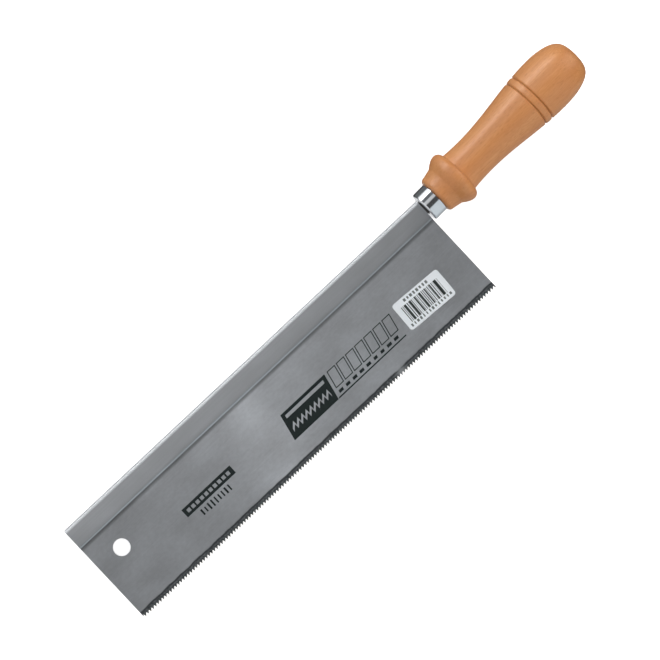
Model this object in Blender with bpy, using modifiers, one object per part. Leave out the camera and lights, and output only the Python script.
"""Straight-handled back saw: a toothed steel plate stiffened by a folded steel back, with a tang
gripped in the fold, a drawn steel ferrule and a turned wooden handle.

The saw lies on its side. X runs from the toe to the handle, Y from the teeth to the spine and
Z up through the plate's thickness. The design is drawn from the heel: x = 0 at the plate's heel
edge, y = 0 at the outside of the fold, z = 0 at the middle of the plate. At the end the whole saw
is moved so that the origin is the centre of the underside of its box.
"""
import math

import bmesh
import bpy
from mathutils import Matrix, Vector

FIT_GAP = 0.0003                 # clearance kept between any two pieces

# Plate
BLADE_LENGTH = 0.250             # toe to heel
BLADE_WIDTH = 0.0612             # outside of the fold to the tooth tips
PLATE_THICKNESS = 0.0007
TOOTH_PITCH = 0.0018             # about 14 points to the inch
GULLET_WIDTH = 0.0002            # flat at the bottom of a gullet
TOOTH_FRONT_ANGLE = math.radians(13)    # flank that faces the toe, off square
TOOTH_BACK_ANGLE = math.radians(38.7)   # flank that faces the handle, off square
TOOTH_SET = 0.00012              # how far a tip is bent to its side
HANG_HOLE_DIAMETER = 0.009
HANG_HOLE_FROM_TOE = 0.0162
HANG_HOLE_BELOW_SPINE = 0.0265
HANG_HOLE_SIDES = 40

# Folded back
BACK_HEIGHT = 0.0127
BACK_SHEET = 0.0008
BACK_LIP_ROUND = 0.0007          # rounding of the outer edge of each lip
BACK_FOLD_STEPS = 14

# Tang
PALM_LENGTH = 0.038              # flat end gripped inside the fold
SPIKE_LENGTH = 0.070             # square end inside the handle
SPIKE_ROOT_HEIGHT = 0.008
SPIKE_TIP_HEIGHT = 0.003
SPIKE_TIP_THICKNESS = 0.0016

# Handle axis
HANDLE_TILT = math.radians(2.4)  # the handle leans towards the spine side
AXIS_BELOW_SPINE = 0.00543       # where the axis crosses the heel

# Ferrule
FERRULE_DIAMETER = 0.01745
FERRULE_WALL = 0.0007
FERRULE_LENGTH = 0.00805
FERRULE_SHOULDER = 0.0011        # radius where the drawn cup turns from its side to its end

# Handle: distances are along its axis, from where the axis crosses the heel
HANDLE_END = 0.1131
FRONT_ROUND_LENGTH = 0.0026
FRONT_ROUND_DEPTH = 0.0021
FRONT_RADIUS = 0.0111            # where the front rounding ends
COLLAR_FOOT_AT = 0.0165
COLLAR_FOOT_RADIUS = 0.01215
COLLAR_PEAK_AT = 0.0231
COLLAR_PEAK_RADIUS = 0.01533
COLLAR_REAR_AT = 0.0265
COLLAR_REAR_RADIUS = 0.01195
NECK_AT = 0.0390
NECK_RADIUS = 0.01133
BEAD_AT = 0.07915                # middle of the bead between the two grooves
BEAD_LENGTH = 0.0045             # from the bottom of one groove to the bottom of the other
GROOVE_WIDTH = 0.0015
GROOVE_DEPTH = 0.0008
BELLY_AT = 0.0920
BELLY_RADIUS = 0.01554
BUTT_ALONG_POWER = 2.0           # shape of the rounded butt: a superellipse
BUTT_ACROSS_POWER = 4.2
TURNED_SIDES = 44

# Paper label on the upper cheek
LABEL_LENGTH = 0.0305
LABEL_WIDTH = 0.0167
LABEL_THICKNESS = 0.0002
LABEL_CORNER = 0.0017
LABEL_FROM_HEEL = 0.0322         # to its middle
LABEL_ABOVE_TEETH = 0.0210       # to its middle
LABEL_TURN = math.radians(-3)

# Sizes that follow from the ones above
BACK_THICKNESS = PLATE_THICKNESS + 2 * (FIT_GAP + BACK_SHEET)
FOLD_GAP = PLATE_THICKNESS + 2 * FIT_GAP
PLATE_TOP = -(BACK_THICKNESS / 2 + FIT_GAP)
PALM_BOTTOM = -(AXIS_BELOW_SPINE + SPIKE_ROOT_HEIGHT / 2 - FIT_GAP)
TOOTH_HEIGHT = (TOOTH_PITCH - GULLET_WIDTH) / (math.tan(TOOTH_FRONT_ANGLE) + math.tan(TOOTH_BACK_ANGLE))
TOOTH_ROOT = -BLADE_WIDTH + TOOTH_HEIGHT
SPIKE_START = FIT_GAP + SPIKE_ROOT_HEIGHT / 2 * math.sin(HANDLE_TILT)
FERRULE_START = FIT_GAP + (FERRULE_DIAMETER / 2 - FERRULE_SHOULDER) * math.sin(HANDLE_TILT)
FERRULE_REAR = FERRULE_START + FERRULE_LENGTH
HANDLE_FRONT = FERRULE_REAR + FIT_GAP
SPIGOT_FRONT = FERRULE_START + FERRULE_WALL + FIT_GAP
SPIGOT_RADIUS = FERRULE_DIAMETER / 2 - FERRULE_WALL - FIT_GAP


# ---------------------------------------------------------------- scene and materials

def clear_scene():
    for thing in list(bpy.data.objects):
        bpy.data.objects.remove(thing, do_unlink=True)


def new_collection(name):
    collection = bpy.data.collections.new(name)
    bpy.context.scene.collection.children.link(collection)
    return collection


def material(name, colour, roughness, metallic):
    made = bpy.data.materials.new(name)
    made.use_nodes = True
    shader = made.node_tree.nodes["Principled BSDF"]
    shader.inputs["Base Color"].default_value = (*colour, 1.0)
    shader.inputs["Roughness"].default_value = roughness
    shader.inputs["Metallic"].default_value = metallic
    return made


# ---------------------------------------------------------------- frames of the saw

def empty(name, parent=None):
    frame = bpy.data.objects.new(name, None)
    frame.empty_display_size = 0.02
    bpy.context.scene.collection.objects.link(frame)
    frame.parent = parent
    return frame


def handle_axis_matrix():
    """Local Z along the handle's axis, local X towards the spine, local Y up."""
    along = Vector((math.cos(HANDLE_TILT), math.sin(HANDLE_TILT), 0))
    across = Vector((-math.sin(HANDLE_TILT), math.cos(HANDLE_TILT), 0))
    up = Vector((0, 0, 1))
    turn = Matrix((across, up, along)).transposed().to_4x4()
    return Matrix.Translation((0, -AXIS_BELOW_SPINE, 0)) @ turn


# ---------------------------------------------------------------- making meshes

def add_object(name, mesh, finish, collection, parent):
    thing = bpy.data.objects.new(name, mesh)
    collection.objects.link(thing)
    thing.parent = parent
    if finish is not None:
        mesh.materials.clear()
        mesh.materials.append(finish)
    return thing


def blend(start, end, share):
    return start + (end - start) * share


def arc(centre, radius, start, end, steps):
    """Points on a circular arc in a plane, both ends included."""
    points = []
    for i in range(steps + 1):
        angle = start + (end - start) * i / steps
        points.append((centre[0] + radius * math.cos(angle), centre[1] + radius * math.sin(angle)))
    return points


def flat_plate(name, outlines, thickness, placing, finish, collection, parent):
    """A flat outline, with its holes, as a filled 2D curve; returned as a mesh object."""
    curve = bpy.data.curves.new(name, "CURVE")
    curve.dimensions = "2D"
    curve.fill_mode = "BOTH"
    curve.extrude = thickness / 2
    for outline in outlines:
        spline = curve.splines.new("POLY")
        spline.points.add(len(outline) - 1)
        for point, (x, y) in zip(spline.points, outline):
            point.co = (x, y, 0, 1)
        spline.use_cyclic_u = True
    drawn = bpy.data.objects.new(name + "_outline", curve)
    collection.objects.link(drawn)
    bpy.context.view_layer.update()
    evaluated = drawn.evaluated_get(bpy.context.evaluated_depsgraph_get())
    mesh = bpy.data.meshes.new_from_object(evaluated)
    bpy.data.objects.remove(drawn, do_unlink=True)
    edit = bmesh.new()
    edit.from_mesh(mesh)
    bmesh.ops.remove_doubles(edit, verts=edit.verts, dist=0.000005)
    edit.to_mesh(mesh)
    edit.free()
    mesh.name = name
    thing = add_object(name, mesh, finish, collection, parent)
    thing.matrix_local = placing
    return thing


def turned(name, profile, finish, collection, parent):
    """A (distance along the axis, radius) profile turned about the handle's axis."""
    mesh = bpy.data.meshes.new(name)
    edit = bmesh.new()
    corners = [edit.verts.new((radius, 0, along)) for along, radius in profile]
    for first, second in zip(corners, corners[1:]):
        edit.edges.new((first, second))
    edit.to_mesh(mesh)
    edit.free()
    thing = add_object(name, mesh, finish, collection, parent)
    thing.matrix_local = handle_axis_matrix()
    screw = thing.modifiers.new("turn", "SCREW")
    screw.axis = "Z"
    screw.steps = TURNED_SIDES
    screw.render_steps = TURNED_SIDES
    screw.use_merge_vertices = True
    screw.merge_threshold = 0.00001
    screw.use_smooth_shade = True
    return thing


def cut(thing, cutter):
    cutter.hide_render = True
    cutter.display_type = "WIRE"
    boolean = thing.modifiers.new("cut_" + cutter.name, "BOOLEAN")
    boolean.operation = "DIFFERENCE"
    boolean.object = cutter
    boolean.solver = "EXACT"


def tapered_bar(edit, start, end, start_size, end_size):
    """A box from start to end along local Z; each size is (across, up)."""
    made = bmesh.ops.create_cube(edit, size=2)
    for vert in made["verts"]:
        at_end = vert.co.z > 0
        across, up = end_size if at_end else start_size
        vert.co.x *= across / 2
        vert.co.y *= up / 2
        vert.co.z = end if at_end else start


def bar_object(name, start, end, start_size, end_size, finish, collection, parent):
    mesh = bpy.data.meshes.new(name)
    edit = bmesh.new()
    tapered_bar(edit, start, end, start_size, end_size)
    edit.to_mesh(mesh)
    edit.free()
    thing = add_object(name, mesh, finish, collection, parent)
    thing.matrix_local = handle_axis_matrix()
    return thing


# ---------------------------------------------------------------- plate

def whole_teeth():
    """How many whole teeth fit on the edge, and where the first one starts."""
    count = int(BLADE_LENGTH / TOOTH_PITCH)
    return count, -(BLADE_LENGTH + count * TOOTH_PITCH) / 2


def point_between(first, second, x):
    share = (x - first[0]) / (second[0] - first[0])
    return (x, blend(first[1], second[1], share))


def tooth_line():
    """The toothed edge from toe to heel: each tooth has a steep flank to the toe.

    The whole teeth are centred on the edge, and the tooth at each end is cut off by the plate."""
    count, start = whole_teeth()
    front_run = TOOTH_HEIGHT * math.tan(TOOTH_FRONT_ANGLE)
    back_run = TOOTH_HEIGHT * math.tan(TOOTH_BACK_ANGLE)
    points = []
    for i in range(-1, count + 1):
        front = start + i * TOOTH_PITCH
        points.append((front, TOOTH_ROOT))
        points.append((front + front_run, -BLADE_WIDTH))
        points.append((front + front_run + back_run, TOOTH_ROOT))
    inside = [i for i, point in enumerate(points) if -BLADE_LENGTH < point[0] < 0]
    toe_end = point_between(points[inside[0] - 1], points[inside[0]], -BLADE_LENGTH)
    heel_end = point_between(points[inside[-1]], points[inside[-1] + 1], 0)
    return [toe_end] + [points[i] for i in inside] + [heel_end]


def set_teeth(plate):
    """Bend the tooth tips to alternate sides, each one as far as it stands below the gullets."""
    _, start = whole_teeth()
    for vert in plate.data.vertices:
        below = (TOOTH_ROOT - vert.co.y) / TOOTH_HEIGHT
        if below > 0:
            tooth = math.floor((vert.co.x - start) / TOOTH_PITCH)
            side = 1 if tooth % 2 else -1
            vert.co.z += side * TOOTH_SET * below


def make_plate(finish, collection, parent):
    notch_left = -(PALM_LENGTH + FIT_GAP)
    notch_bottom = PALM_BOTTOM - FIT_GAP
    outline = [(notch_left, PLATE_TOP), (-BLADE_LENGTH, PLATE_TOP)]
    outline += tooth_line()
    outline += [(0, notch_bottom), (notch_left, notch_bottom)]
    hole_centre = (-BLADE_LENGTH + HANG_HOLE_FROM_TOE, -HANG_HOLE_BELOW_SPINE)
    hole = arc(hole_centre, HANG_HOLE_DIAMETER / 2, 0, 2 * math.pi, HANG_HOLE_SIDES)[:-1]
    plate = flat_plate("saw_plate", [outline, hole], PLATE_THICKNESS, Matrix(), finish,
                       collection, parent)
    set_teeth(plate)
    return plate


# ---------------------------------------------------------------- folded back

def make_back(finish, collection, parent):
    """The U of the fold, drawn across the saw and extruded from toe to heel."""
    outer = BACK_THICKNESS / 2
    inner = FOLD_GAP / 2
    quarter = math.pi / 2
    lip_centre = -BACK_HEIGHT + BACK_LIP_ROUND
    lip_edge = outer - BACK_LIP_ROUND
    outline = arc((lip_centre, -lip_edge), BACK_LIP_ROUND, 2 * quarter, 3 * quarter, 4)
    outline += arc((-outer, 0), outer, -quarter, quarter, BACK_FOLD_STEPS)
    outline += arc((lip_centre, lip_edge), BACK_LIP_ROUND, quarter, 2 * quarter, 4)
    outline.append((-BACK_HEIGHT, inner))
    outline += arc((-outer, 0), inner, quarter, -quarter, BACK_FOLD_STEPS)
    outline.append((-BACK_HEIGHT, -inner))
    across_saw = Matrix(((0, 0, 1), (1, 0, 0), (0, 1, 0))).to_4x4()
    placing = Matrix.Translation((-BLADE_LENGTH / 2, 0, 0)) @ across_saw
    return flat_plate("folded_back", [outline], BLADE_LENGTH, placing, finish, collection, parent)


# ---------------------------------------------------------------- tang

def spike_section(clearance):
    """Sizes of the spike's two ends, (across, up), with a clearance all round."""
    root = (SPIKE_ROOT_HEIGHT + 2 * clearance, BACK_THICKNESS + 2 * clearance)
    tip = (SPIKE_TIP_HEIGHT + 2 * clearance, SPIKE_TIP_THICKNESS + 2 * clearance)
    return root, tip


def make_tang(finish, collection, cutters, parent):
    root, tip = spike_section(0)
    tang = bar_object("tang", SPIKE_START, SPIKE_START + SPIKE_LENGTH, root, tip, finish,
                      collection, parent)
    palm_overlap = SPIKE_START + PLATE_THICKNESS
    palm_mesh = bpy.data.meshes.new("palm")
    edit = bmesh.new()
    size = Matrix.Diagonal((PALM_LENGTH + palm_overlap, PLATE_TOP - PALM_BOTTOM, PLATE_THICKNESS, 1))
    middle = Vector(((palm_overlap - PALM_LENGTH) / 2, (PLATE_TOP + PALM_BOTTOM) / 2, 0))
    bmesh.ops.create_cube(edit, size=1, matrix=Matrix.Translation(middle) @ size)
    edit.to_mesh(palm_mesh)
    edit.free()
    palm = add_object("palm", palm_mesh, finish, cutters, parent)
    palm.hide_render = True
    palm.display_type = "WIRE"
    union = tang.modifiers.new("palm", "BOOLEAN")
    union.operation = "UNION"
    union.object = palm
    union.solver = "EXACT"
    return tang


# ---------------------------------------------------------------- ferrule

def make_ferrule(finish, collection, cutters, parent):
    """A drawn cup, open towards the handle, with a slot in its end for the tang."""
    radius = FERRULE_DIAMETER / 2
    inner = radius - FERRULE_WALL
    bend = max(FERRULE_SHOULDER - FERRULE_WALL, FERRULE_WALL / 4)
    quarter = math.pi / 2
    rear_edge = (FERRULE_REAR, radius)
    profile = [rear_edge]
    profile += arc((FERRULE_START + FERRULE_SHOULDER, radius - FERRULE_SHOULDER),
                   FERRULE_SHOULDER, quarter, 2 * quarter, 6)
    profile += [(FERRULE_START, 0), (FERRULE_START + FERRULE_WALL, 0)]
    profile += arc((FERRULE_START + FERRULE_WALL + bend, inner - bend), bend, 2 * quarter, quarter, 4)
    profile += [(FERRULE_REAR, inner), rear_edge]
    ferrule = turned("ferrule", profile, finish, collection, parent)
    root, _ = spike_section(FIT_GAP)
    slot = bar_object("tang_slot", -FERRULE_WALL, FERRULE_START + 4 * FERRULE_WALL, root, root,
                      None, cutters, parent)
    cut(ferrule, slot)
    return ferrule


# ---------------------------------------------------------------- handle

def body_radius(along):
    """Radius of the handle behind the collar, before its grooves are turned."""
    if along < NECK_AT:
        share = (along - COLLAR_REAR_AT) / (NECK_AT - COLLAR_REAR_AT)
        return NECK_RADIUS + (COLLAR_REAR_RADIUS - NECK_RADIUS) * (1 - share) ** 2
    if along < BELLY_AT:
        share = (along - NECK_AT) / (BELLY_AT - NECK_AT)
        return blend(NECK_RADIUS, BELLY_RADIUS, (1 - math.cos(math.pi * share)) / 2)
    share = min((along - BELLY_AT) / (HANDLE_END - BELLY_AT), 1)
    return BELLY_RADIUS * (1 - share ** BUTT_ALONG_POWER) ** (1 / BUTT_ACROSS_POWER)


def front_profile():
    """Spigot, rounded front, gentle cone and the collar's swelling front, as (along, radius)."""
    points = [(SPIGOT_FRONT, 0), (SPIGOT_FRONT, SPIGOT_RADIUS), (HANDLE_FRONT, SPIGOT_RADIUS)]
    round_centre = HANDLE_FRONT + FRONT_ROUND_LENGTH
    steps = 5
    for i in range(steps + 1):
        angle = math.pi / 2 * i / steps
        along = round_centre - FRONT_ROUND_LENGTH * math.cos(angle)
        radius = FRONT_RADIUS - FRONT_ROUND_DEPTH * (1 - math.sin(angle))
        points.append((along, radius))
    steps = 7
    for i in range(steps + 1):
        share = i / steps
        along = blend(COLLAR_FOOT_AT, COLLAR_PEAK_AT, share)
        radius = blend(COLLAR_FOOT_RADIUS, COLLAR_PEAK_RADIUS, math.sin(math.pi / 2 * share))
        points.append((along, radius))
    return points


def collar_rear():
    """The collar's rear, a quarter ellipse that drops to the neck."""
    points = []
    steps = 6
    for i in range(1, steps + 1):
        angle = math.pi / 2 * i / steps
        along = blend(COLLAR_PEAK_AT, COLLAR_REAR_AT, math.sin(angle))
        radius = blend(COLLAR_REAR_RADIUS, COLLAR_PEAK_RADIUS, math.cos(angle))
        points.append((along, radius))
    return points


def grooves():
    return (BEAD_AT - BEAD_LENGTH / 2, BEAD_AT + BEAD_LENGTH / 2)


def body_profile():
    """Neck, belly, the two grooves with the bead between them, and the rounded butt."""
    stations = [blend(COLLAR_REAR_AT, NECK_AT, i / 4) for i in range(1, 5)]
    stations += [blend(NECK_AT, BELLY_AT, i / 14) for i in range(1, 15)]
    steps = 12
    for i in range(1, steps + 1):
        stations.append(blend(BELLY_AT, HANDLE_END, math.sin(math.pi / 2 * i / steps)))
    clear = [s for s in stations if all(abs(s - g) > GROOVE_WIDTH * 0.7 for g in grooves())]
    points = [(s, body_radius(s)) for s in clear]
    for groove in grooves():
        points.append((groove - GROOVE_WIDTH / 2, body_radius(groove - GROOVE_WIDTH / 2)))
        points.append((groove, body_radius(groove) - GROOVE_DEPTH))
        points.append((groove + GROOVE_WIDTH / 2, body_radius(groove + GROOVE_WIDTH / 2)))
    return sorted(points)


def make_handle(finish, collection, cutters, parent):
    profile = front_profile() + collar_rear() + body_profile()
    profile[-1] = (HANDLE_END, 0)
    handle = turned("handle", profile[::-1], finish, collection, parent)
    root, tip = spike_section(FIT_GAP)
    bore = bar_object("tang_bore", SPIKE_START, SPIKE_START + SPIKE_LENGTH + FIT_GAP, root, tip,
                      None, cutters, parent)
    cut(handle, bore)
    return handle


# ---------------------------------------------------------------- label

def make_label(finish, collection, parent):
    half_length = LABEL_LENGTH / 2 - LABEL_CORNER
    half_width = LABEL_WIDTH / 2 - LABEL_CORNER
    quarter = math.pi / 2
    centres = ((half_length, half_width), (-half_length, half_width),
               (-half_length, -half_width), (half_length, -half_width))
    outline = []
    for i, centre in enumerate(centres):
        outline += arc(centre, LABEL_CORNER, i * quarter, (i + 1) * quarter, 6)
    height = PLATE_THICKNESS / 2 + FIT_GAP + LABEL_THICKNESS / 2
    place = Vector((-LABEL_FROM_HEEL, -BLADE_WIDTH + LABEL_ABOVE_TEETH, height))
    placing = Matrix.Translation(place) @ Matrix.Rotation(LABEL_TURN, 4, "Z")
    return flat_plate("label", [outline], LABEL_THICKNESS, placing, finish, collection, parent)


# ---------------------------------------------------------------- the whole saw

def centre_on_origin(frame, pieces):
    """Move the saw so that the origin is the centre of the underside of its box."""
    bpy.context.view_layer.update()
    depsgraph = bpy.context.evaluated_depsgraph_get()
    corners = []
    for piece in pieces:
        evaluated = piece.evaluated_get(depsgraph)
        mesh = evaluated.to_mesh()
        corners += [evaluated.matrix_world @ vert.co for vert in mesh.vertices]
        evaluated.to_mesh_clear()
    low = [min(corner[i] for corner in corners) for i in range(3)]
    high = [max(corner[i] for corner in corners) for i in range(3)]
    frame.location = (-(low[0] + high[0]) / 2, -(low[1] + high[1]) / 2, -low[2])
    bpy.context.view_layer.update()
    size = [(b - a) * 1000 for a, b in zip(low, high)]
    print("box of the saw, mm: %.1f x %.1f x %.1f" % tuple(size))
    print("heel corner of the design frame, m: %.5f %.5f %.5f" % tuple(frame.location))


def shade(piece):
    piece.data.shade_smooth()
    piece.data.set_sharp_from_angle(angle=math.radians(35))


def main():
    clear_scene()
    saw = new_collection("hand_saw")
    cutters = new_collection("cutters")
    frame = empty("saw_frame")
    plate_steel = material("plate_steel", (0.27, 0.28, 0.29), 0.36, 1.0)
    back_steel = material("back_steel", (0.30, 0.31, 0.32), 0.34, 1.0)
    tang_steel = material("tang_steel", (0.16, 0.16, 0.17), 0.50, 1.0)
    nickel = material("bright_nickel", (0.78, 0.80, 0.83), 0.12, 1.0)
    beech = material("lacquered_beech", (0.55, 0.26, 0.10), 0.38, 0.0)
    paper = material("label_paper", (0.78, 0.82, 0.83), 0.60, 0.0)
    plate = make_plate(plate_steel, saw, frame)
    back = make_back(back_steel, saw, frame)
    tang = make_tang(tang_steel, saw, cutters, frame)
    ferrule = make_ferrule(nickel, saw, cutters, frame)
    handle = make_handle(beech, saw, cutters, frame)
    label = make_label(paper, saw, frame)
    shade(back)
    centre_on_origin(frame, [plate, back, tang, ferrule, handle, label])


main()
